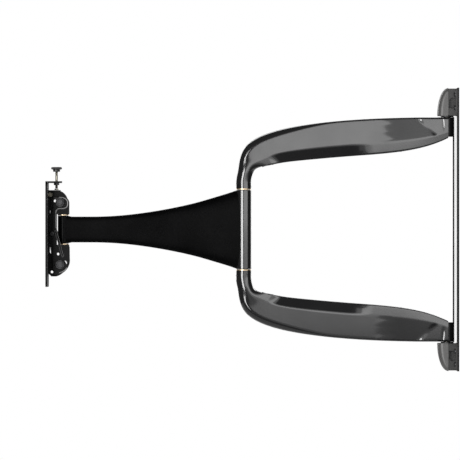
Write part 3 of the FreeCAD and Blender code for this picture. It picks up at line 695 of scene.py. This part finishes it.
makePlate()
for node in ("upper_bracket", "lower_bracket"):
    finished(node, softened(node, plateShape["bracketEdge"]), [bracketSteel, bracketSteel], node)

capShape = {"across": 18, "corner": 8, "side": 6, "along": 18, "round": 0.0075, "wall": 0.0018,
            "mouth": 0.06, "topPull": 0.8}


def capCross(wide, reach, tall):
    # one cross-section as (y, share of the reach, share of the height), side wall to side wall
    shape = capShape
    radius = shape["round"]
    pullIn, pullDown = radius / reach, shape["topPull"] * radius / tall
    half = []
    for number in range(shape["side"]):
        share = shape["mouth"] + (1 - shape["mouth"]) * number / shape["side"]
        half.append((wide, share * (1 - pullIn), share * (1 - pullDown)))
    for number in range(shape["corner"] + 1):
        angle = math.pi / 2 * number / shape["corner"]
        pull = 1 - math.sin(angle)
        half.append((wide - radius + radius * math.cos(angle), 1 - pull * pullIn,
                     1 - pull * pullDown))
    flat = wide - radius
    middle = [(flat - 2 * flat * n / shape["across"], 1, 1) for n in range(1, shape["across"])]
    return half + middle + [(-y, a, b) for y, a, b in half[::-1]]


def makeCap(node, side):
    # an open moulded shell: quarter ellipse from the side, round shoulders from above
    low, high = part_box(node)
    back, front = high[0], low[0]
    near = min(abs(low[2]), abs(high[2]))
    far = max(abs(low[2]), abs(high[2]))
    points, faces = [], []
    rowsIn = capShape["along"]
    for wall in (0, capShape["wall"]):
        reach, tall = back - front - wall, far - near - wall
        cross = capCross(high[1] - wall, reach, tall)
        for row in range(rowsIn + 1):
            angle = math.pi / 2 * row / rowsIn
            points += [(back - reach * a * math.cos(angle), y,
                        side * (near + tall * b * math.sin(angle))) for y, a, b in cross]
    count = len(cross)
    size = (rowsIn + 1) * count
    for shell in (0, 1):
        for row in range(rowsIn):
            for step in range(count - 1):
                start = shell * size + row * count + step
                faces.append((start, start + 1, start + count + 1, start + count))
    rim = list(range(count)) + [row * count + count - 1 for row in range(1, rowsIn + 1)]
    rim += [rowsIn * count + step for step in range(count - 2, -1, -1)]
    rim += [row * count for row in range(rowsIn - 1, 0, -1)]
    for here, there in zip(rim, rim[1:] + rim[:1]):
        faces.append((here, there, there + size, here + size))
    finished(node, meshFrom(node, points, faces), greyCap, node, smooth=50)


makeCap("upper_cap", 1)
makeCap("lower_cap", -1)

# axis, bore radius, broken edge, material, and segments where they aren't 48
turnedPieces = {
    "upper_wall_pin": ("z", 0.0, 0.0008, zinc),
    "lower_wall_pin": ("z", 0.0, 0.0008, zinc),
    "wall_thrust_washers": ("z", 0.0050, 0.0003, plastic),
    "pin_set_screws": ("x", 0.0, 0.0003, oxide, 24),
    "wall_bushes": ("z", 0.0051, 0.0004, nylon),
    "elbow_shaft": ("z", 0.0, 0.0008, zinc),
    "elbow_washers": ("z", 0.0060, 0.0004, brass, 64),
    "elbow_bushes": ("z", 0.0061, 0.0004, nylon),
    "pan_bushes": ("z", 0.0041, 0.0003, nylon),
    "pan_washers": ("z", 0.0040, 0.0003, brass),
    "pan_nut_washer": ("z", 0.0040, 0.0003, zinc),
    "tab_nut": ("z", 0.00225, 0.0004, oxide),
    "guide_washers": ("y", 0.0030, 0.0002, oxide),
    "hook_rod": ("y", 0.0, 0.0004, zinc),
}
for node, row in turnedPieces.items():
    turned(node, *row)
turned("screw_pad", "z", 0.0, 0.0004, zinc, name="foot pad")
print("turned pieces made")


# folded steel of the head

sheetEdges = {"pan_yoke": 0.00045, "tilt_carriage": 0.00045, "tv_plate": 0.0006,
              "tilt_stays": 0.00045}
nutEdge = 0.0003

# the bevels take the second finish, a painted highlight on every broken edge
for node, width in sheetEdges.items():
    finished(node, softened(node, width), [steel, edgeHighlight], node)
for node, material in (("pan_nut", zinc), ("tilt_pivot_nut", oxide), ("guide_nuts", oxide)):
    finished(node, softened(node, nutEdge), [material, material], node)


# a rolled bead round each lobe of the cheeks, painted pale as its highlight

beadShape = {"wide": 0.0013, "tall": 0.0003, "washer": 0.0014, "stations": 48,
             # the bead's section, in widths across and heights up
             "section": [(-0.5, -0.1), (-0.5, 0.2), (-0.25, 1), (0.25, 1), (0.5, 0.2), (0.5, -0.1)],
             # distances in mm from the pan pivot, and heights
             "upper": [(-6.2, 46.4), (-2.6, 46.4), (1.4, 45.6), (4.7, 43.4), (6.7, 39), (5.5, 33),
                       (0.5, 30.4), (-6, 30.2), (-10, 27), (-10.6, 14), (-10.4, 2)],
             "lower": [(5.6, -55.2), (3.2, -58.2), (-0.6, -60.9), (-5.5, -62.6)]}


def cheekBeads():
    panX = middleOf(*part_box("pan_bolt"))[0]
    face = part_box("guide_washers")[1][1] - beadShape["washer"]
    wide, tall = beadShape["wide"], beadShape["tall"]
    meshes = []
    for side in (-1, 1):
        for name in ("upper", "lower"):
            path = throughPoints([(panX + x * mm, z * mm) for x, z in beadShape[name]],
                                 beadShape["stations"])
            rings = []
            for number, (x, z) in enumerate(path):
                before, after = path[max(number - 1, 0)], path[min(number + 1, len(path) - 1)]
                run = Vector((after[0] - before[0], after[1] - before[1])).normalized()
                rings.append([(x - run.y * across * wide, side * (face + tall * up),
                               z + run.x * across * wide) for across, up in beadShape["section"]])
            meshes.append(skin(name, rings))
    finished("cheek beads", combined("cheek beads", meshes), edgeHighlight, body="yoke")


cheekBeads()


# fasteners, placed by one node tree

class GrowingTree(NodeTree):
    # a geometry tree with named inputs, which ends in plain painted geometry
    def __init__(self, name, inputs):
        super().__init__(bpy.data.node_groups.new(name, "GeometryNodeTree"))
        face = self.tree.interface
        for label, kind in {"Geometry": "Geometry", **inputs, "Finish": "Material"}.items():
            face.new_socket(label, in_out="INPUT", socket_type="NodeSocket" + kind)
        face.new_socket("Geometry", in_out="OUTPUT", socket_type="NodeSocketGeometry")
        self.given = self.node("NodeGroupInput").outputs

    def painted(self, shape):
        real = self.node("GeometryNodeRealizeInstances", None, {"Geometry": shape})
        coat = self.node("GeometryNodeSetMaterial", None, {
            "Geometry": real.outputs[0], "Material": self.given["Finish"]})
        self.node("NodeGroupOutput", None, {"Geometry": coat.outputs[0]})
        return self.tree


def placingTree():
    tree = GrowingTree("place fasteners", {"Fastener": "Object", "Scale": "Float"})
    info = tree.node("GeometryNodeObjectInfo", None, {"Object": tree.given["Fastener"]})
    facing = tree.node("GeometryNodeInputNamedAttribute", {"data_type": "FLOAT_VECTOR"},
                       {"Name": "facing"})
    turn = tree.node("FunctionNodeAlignRotationToVector", {"axis": "Z"},
                     {"Vector": facing.outputs["Attribute"]})
    place = tree.node("GeometryNodeInstanceOnPoints", None, {
        "Points": tree.given["Geometry"], "Instance": info.outputs["Geometry"],
        "Rotation": turn.outputs["Rotation"], "Scale": tree.given["Scale"]})
    return tree.painted(place.outputs[0])


def grown(name, base, tree, values):
    # runs a tree on a base mesh and keeps only the plain mesh that comes out
    thing = bpy.data.objects.new(name, base)
    bpy.context.scene.collection.objects.link(thing)
    modifier = thing.modifiers.new(name, "NODES")
    modifier.node_group = tree
    for item in tree.interface.items_tree:
        if item.in_out == "INPUT" and item.name in values:
            modifier[item.identifier] = values[item.name]
    bpy.context.view_layer.update()
    seen = thing.evaluated_get(bpy.context.evaluated_depsgraph_get())
    mesh = bpy.data.meshes.new_from_object(seen)
    bpy.data.objects.remove(thing)
    mesh.materials.clear()
    return mesh


placing = placingTree()


def placed(name, template, spots, extra=()):
    # copies of the template on spots, which are (place, facing) pairs
    base = bpy.data.meshes.new(name + " spots")
    base.from_pydata([tuple(place) for place, _ in spots], [], [])
    facing = base.attributes.new("facing", "FLOAT_VECTOR", "POINT")
    for number, (_, way) in enumerate(spots):
        facing.data[number].vector = way
    shape = bpy.data.objects.new(name + " shape", template)
    mesh = grown(name, base, placing, {"Fastener": shape, "Scale": 1.0, "Finish": oxide})
    bpy.data.objects.remove(shape)
    finished(name, combined(name, [mesh, *extra]), oxide, name, smooth=35)


headShape = {"hexSteps": 48, "cone": 1.4, "dishShare": 0.62, "dishSlope": 0.0003,
             "panSteps": 36, "panLevels": 6, "mouth": 1.35, "points": 0.14, "socketDeep": 0.35}


def levelRing(level, count, reach):
    # a ring round the axis; reach gives the radius at each angle
    angles = [2 * math.pi * number / count for number in range(count)]
    return [(reach(angle) * math.cos(angle), reach(angle) * math.sin(angle), level)
            for angle in angles]


def hexHead(look):
    # six-sided, with the corners turned off at the top and a dished face
    radius, height, chamfer = look["radius"], look["tall"], look["chamfer"]
    flat = radius * math.cos(math.pi / 6)
    rings = []
    for level in (0, height - chamfer, height - chamfer / 2, height):
        cone = radius - max(level - (height - chamfer), 0) * headShape["cone"]
        rings.append(levelRing(level, headShape["hexSteps"], lambda angle: min(
            flat / math.cos(angle % (math.pi / 3) - math.pi / 6), cone)))
    top = flat * headShape["dishShare"]
    for inner, level in ((top, height), (top - headShape["dishSlope"], height - look["dish"])):
        rings.append(levelRing(level, headShape["hexSteps"], lambda angle: inner))
    return skin("hex head", rings)


def panHead(look):
    # a low round head with a six-point socket
    radius, height, socket = look["radius"], look["tall"], look["socket"]
    levels, steps = headShape["panLevels"], headShape["panSteps"]
    rings = []
    for part in range(levels + 1):
        turn = math.pi / 2 * part / levels
        inward = (radius - socket * headShape["mouth"]) * (1 - math.cos(turn))
        rings.append(levelRing(height * math.sin(turn), steps, lambda angle: radius - inward))
    for level in (height, height * headShape["socketDeep"]):
        rings.append(levelRing(level, steps, lambda angle: socket * (
            1 + headShape["points"] * math.cos(6 * angle))))
    return skin("pan head", rings)


# axis, the end with the head (0 is the end away from the middle), head, and sizes
boltShapes = {
    "bracket_screws": ("x", -1, panHead, {"radius": 0.0038, "tall": 0.0022, "socket": 0.0015,
                                          "stem": 0.002, "stemEdge": 0, "segments": 16}),
    "guide_bolts": ("y", 0, hexHead, {"radius": 0.0052, "tall": 0.0036, "chamfer": 0.0008,
                                      "dish": 0.0004, "stem": 0.003, "stemEdge": 0,
                                      "segments": 24}),
    "pan_bolt": ("z", 1, hexHead, {"radius": 0.0072, "tall": 0.005, "chamfer": 0.001,
                                   "dish": 0.0005, "stem": 0.004, "stemEdge": 0.0006,
                                   "segments": 32}),
    "tilt_pivot_bolt": ("y", -1, panHead, {"radius": 0.0042, "tall": 0.0042, "socket": 0.0016,
                                           "stem": 0.0025, "stemEdge": 0.0004, "segments": 24}),
}
coverScrewShape = {"radius": 0.0019, "tall": 0.0009, "socket": 0.0007, "sunk": 0.0004}
grubShape = {"radius": 0.00245, "socket": 0.0011}


def makeBolts(node, axis, headEnd, makeHead, look):
    spinAxis = "xyz".index(axis)
    across = [n for n in range(3) if n != spinAxis]
    spots, stems = [], []
    for low, high in islands(node):
        way = headEnd or math.copysign(1, low[spinAxis])
        tip, top = (low, high) if way > 0 else (high, low)
        under = top[spinAxis] - way * look["tall"]
        place, facing = Vector(middleOf(low, high)), Vector()
        place[spinAxis] = under
        facing[spinAxis] = way
        spots.append((place, facing))
        ends = sorted((tip[spinAxis], under))
        outline = ringOutline(look["stem"], 0.0, *ends, look["stemEdge"])
        centre = [(low[n] + high[n]) / 2 for n in across]
        stems.append(turnedMesh("stem", outline, axis, centre, look["segments"]))
    placed(node, makeHead(look), spots, stems)


def coverScrews():
    spots = []
    for low, high in islands("cover_screws"):
        way = 1 if low.z > 0 else -1
        face = low.z if way > 0 else high.z
        place = Vector(((low.x + high.x) / 2, 0, face + way * coverScrewShape["sunk"]))
        spots.append((place, (0, 0, -way)))
    placed("cover_screws", panHead(coverScrewShape), spots)


def shaftScrews():
    spots = []
    for low, high in islands("shaft_set_screws"):
        spots.append((Vector(((low.x + high.x) / 2, high.y, (low.z + high.z) / 2)), (0, -1, 0)))
    placed("shaft_set_screws", panHead({"tall": high.y - low.y, **grubShape}), spots)


for node, row in boltShapes.items():
    makeBolts(node, *row)
coverScrews()
shaftScrews()
print("fasteners made")


# thumb screw: a core, a rolled thread along it and a ribbed knob

threadShape = {"pitch": 0.0007, "ridge": 0.00009, "steps": 20, "sides": 4, "from": 0.0008,
               "ends": 0.0048, "coreEdge": 0.0003}


def spiralTree():
    tree = GrowingTree("rolled thread", {"Turns": "Float", "Radius": "Float", "Length": "Float",
                                         "Ridge": "Float", "Place": "Vector"})
    given = tree.given
    coil = tree.node("GeometryNodeCurveSpiral", None, {
        "Resolution": threadShape["steps"], "Rotations": given["Turns"], "Height": given["Length"],
        "Start Radius": given["Radius"], "End Radius": given["Radius"]})
    ridge = tree.node("GeometryNodeCurvePrimitiveCircle", None, {
        "Resolution": threadShape["sides"], "Radius": given["Ridge"]})
    sweep = tree.node("GeometryNodeCurveToMesh", None, {
        "Curve": coil.outputs[0], "Profile Curve": ridge.outputs[0], "Fill Caps": True})
    moved = tree.node("GeometryNodeSetPosition", None, {
        "Geometry": sweep.outputs[0], "Offset": given["Place"]})
    return tree.painted(moved.outputs[0])


def thumbScrew():
    low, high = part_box("thumb_screw")
    x = middleOf(low, high)[0]
    ridge = threadShape["ridge"]
    core = (high[0] - low[0]) / 2 - ridge
    outline = ringOutline(core, 0.0, low[2], high[2], threadShape["coreEdge"])
    length = high[2] - low[2] - threadShape["ends"]
    base = bpy.data.meshes.new("thread start")
    base.from_pydata([(0, 0, 0)], [], [])
    thread = grown("thread", base, spiralTree(), {
        "Turns": length / threadShape["pitch"], "Radius": core, "Length": length,
        "Ridge": ridge, "Place": (x, 0, low[2] + threadShape["from"]), "Finish": zinc})
    whole = combined("thumb screw", [turnedMesh("core", outline, "z", (x, 0), 32), thread])
    finished("thumb screw", whole, zinc, "thumb_screw", smooth=50)


def ribTree():
    tree = GrowingTree("ribs round a rim", {
        "Count": "Int", "Rim radius": "Float", "Rib radius": "Float", "Rib length": "Float",
        "Turn": "Vector", "Place": "Vector"})
    given = tree.given
    rim = tree.node("GeometryNodeMeshCircle", None, {
        "Vertices": given["Count"], "Radius": given["Rim radius"]})
    rib = tree.node("GeometryNodeMeshCylinder", None, {
        "Vertices": 10, "Radius": given["Rib radius"], "Depth": given["Rib length"]})
    ring = tree.node("GeometryNodeInstanceOnPoints", None, {
        "Points": rim.outputs["Mesh"], "Instance": rib.outputs["Mesh"]})
    moved = tree.node("GeometryNodeTransform", None, {
        "Geometry": ring.outputs[0], "Translation": given["Place"], "Rotation": given["Turn"]})
    return tree.painted(moved.outputs[0])


knobShape = {"ribs": 20, "ribRadius": 0.0009, "ribShort": 0.0008, "hubRadius": 0.0051,
             "hubEdge": 0.0006, "discTall": 0.0036, "discEdge": 0.0004, "topEdge": 0.0005,
             "topTurn": 0.0007, "dishShare": 0.6, "dishEdge": 0.0003, "dish": 0.0006}
collarShape = {"teeth": 14, "toothRadius": 0.00055, "toothShort": 0.0004, "bore": 0.0018,
               "edge": 0.0003}
ribbing = ribTree()


def ribsFor(name, count, rim, rib, length, turn, place, material):
    base = bpy.data.meshes.new(name)
    base.from_pydata([(0, 0, 0)], [], [])
    return grown(name, base, ribbing, {
        "Count": count, "Rim radius": rim, "Rib radius": rib, "Rib length": length,
        "Turn": turn, "Place": place, "Finish": material})


def thumbKnob():
    shape = knobShape
    low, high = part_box("thumb_knob")
    x = middleOf(low, high)[0]
    bottom, top = low[2], high[2]
    disc = top - shape["discTall"]
    hub, rib, edge = shape["hubRadius"], shape["ribRadius"], shape["discEdge"]
    rim = (high[0] - low[0]) / 2 - rib
    outline = [(0, bottom), (hub - shape["hubEdge"], bottom), (hub, bottom + shape["hubEdge"]),
               (hub, disc - edge), (hub + edge, disc), (rim - edge, disc), (rim, disc + edge),
               (rim, top - shape["topEdge"]), (rim - shape["topTurn"], top),
               (rim * shape["dishShare"], top - shape["dishEdge"]), (0, top - shape["dish"])]
    ribs = ribsFor("knob ribs", shape["ribs"], rim, rib, top - disc - shape["ribShort"],
                   (0, 0, 0), (x, 0, (top + disc) / 2), plastic)
    whole = combined("thumb knob", [turnedMesh("knob", outline, "z", (x, 0), 60), ribs])
    finished("thumb knob", whole, plastic, "thumb_knob")


def rodCollars():
    shape = collarShape
    tooth = shape["toothRadius"]
    meshes = []
    for low, high in islands("rod_collars"):
        x, y, z = middleOf(low, high)
        rim = (high.x - low.x) / 2 - tooth
        outline = ringOutline(rim, shape["bore"], low.y, high.y, shape["edge"])
        meshes.append(turnedMesh("collar", outline, "y", (x, z), 40))
        meshes.append(ribsFor("teeth", shape["teeth"], rim, tooth,
                              high.y - low.y - shape["toothShort"], (math.pi / 2, 0, 0),
                              (x, y, z), zinc))
    finished("rod collars", combined("rod collars", meshes), zinc, "rod_collars")


thumbScrew()
thumbKnob()
rodCollars()
print("thumb screw made")


# stage, lights and camera

floorShape = {"drop": 0.60, "left": -2.2, "right": 1.8, "front": -0.85, "back": 2.4,
              "dark": (0.78, 0.78, 0.78), "light": (0.84, 0.84, 0.84), "cloud": 3}


def makeFloor():
    shape = floorShape
    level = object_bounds()[0][2] - shape["drop"]
    corners = [(shape[x], shape[y], level) for x, y in (
        ("left", "front"), ("right", "front"), ("right", "back"), ("left", "back"))]
    mesh = meshFrom("floor", corners, [(0, 1, 2, 3)])
    finish = Finish("pale floor")
    cloud = finish.objectNoise(shape["cloud"])
    mesh.materials.append(finish.shader(
        Base_Color=finish.between(shape["dark"], shape["light"], cloud), Roughness=0.8))
    floor = bpy.data.objects.new("floor", mesh)
    bpy.context.scene.collection.objects.link(floor)


def softbox(name, place, size, facing, radiance):
    # a lit rectangle round its place; the power follows the wanted brightness
    lamp = bpy.data.lights.new(name, "AREA")
    lamp.shape = "RECTANGLE"
    lamp.size, lamp.size_y = size
    lamp.energy = radiance * math.pi * size[0] * size[1]
    thing = bpy.data.objects.new(name, lamp)
    thing.location = place
    thing.rotation_euler = (-Vector(facing)).to_track_quat("Z", "Y").to_euler()
    thing.visible_camera = False
    bpy.context.scene.collection.objects.link(thing)


def panel(name, low, high, depth, radiance):
    # an upright panel in front of the object, from low to high in x and z
    middle = ((low[0] + high[0]) / 2, -depth, (low[1] + high[1]) / 2)
    softbox(name, middle, (high[0] - low[0], high[1] - low[1]), (0, 1, 0), radiance)


near, far = 1.5, 5.0
# corners in x and z, distance and brightness
panels = {
    "key upper": ((-0.345, 0.00), (2.4, 0.30), near, 3.3),
    "key above": ((-0.345, 0.30), (2.4, 0.55), near, 1.1),
    "key lower": ((-0.345, -0.165), (2.4, 0.00), near, 1.55),
    "key below": ((-0.345, -0.42), (2.4, -0.165), near, 0.45),
    "streak": ((-3.9, -1.2), (-1.45, 1.2), far, 13.0),
}
# place, size, facing and brightness
softboxes = {
    "sky": ((-0.3, 2.2, 2.0), (3.0, 1.3), (0, -0.74, -0.67), 3.0),
    "back left": ((-1.9, 3.0, 0.7), (1.5, 2.0), (0.5, -0.8, -0.2), 3.0),
    "back right": ((1.3, 3.0, 0.7), (1.5, 2.0), (-0.5, -0.8, -0.2), 3.0),
}
# the room's light on the object, and what shows behind it
roomLight = {"dim": 0.10, "bright": 1.0}


def makeWorld():
    world = bpy.data.worlds.new("white room")
    bpy.context.scene.world = world
    world.use_nodes = True
    tree = NodeTree(world.node_tree)
    path = tree.node("ShaderNodeLightPath")
    dim, bright = [tree.node("ShaderNodeBackground", None, {
        "Color": (1, 1, 1, 1), "Strength": strength}) for strength in roomLight.values()]
    mix = tree.node("ShaderNodeMixShader", None, {
        0: path.outputs["Is Camera Ray"], 1: dim.outputs[0], 2: bright.outputs[0]})
    tree.node("ShaderNodeOutputWorld", None, {"Surface": mix.outputs[0]})


cameraShape = {"x": -0.3313, "z": -0.0007, "wide": 0.667, "distance": 14.0, "sensor": 36,
               "sight": 50}


def makeCamera():
    camera = bpy.data.cameras.new("camera")
    camera.sensor_width = cameraShape["sensor"]
    camera.lens = cameraShape["sensor"] * cameraShape["distance"] / cameraShape["wide"]
    camera.clip_end = cameraShape["sight"]
    thing = bpy.data.objects.new("camera", camera)
    thing.location = (cameraShape["x"], -cameraShape["distance"], cameraShape["z"])
    thing.rotation_euler = (math.pi / 2, 0, 0)
    bpy.context.scene.collection.objects.link(thing)
    bpy.context.scene.camera = thing


makeFloor()
for name, row in panels.items():
    panel(name, *row)
for name, row in softboxes.items():
    softbox(name, *row)
makeWorld()
makeCamera()
bpy.context.scene.view_settings.view_transform = "Standard"
print("stage made")
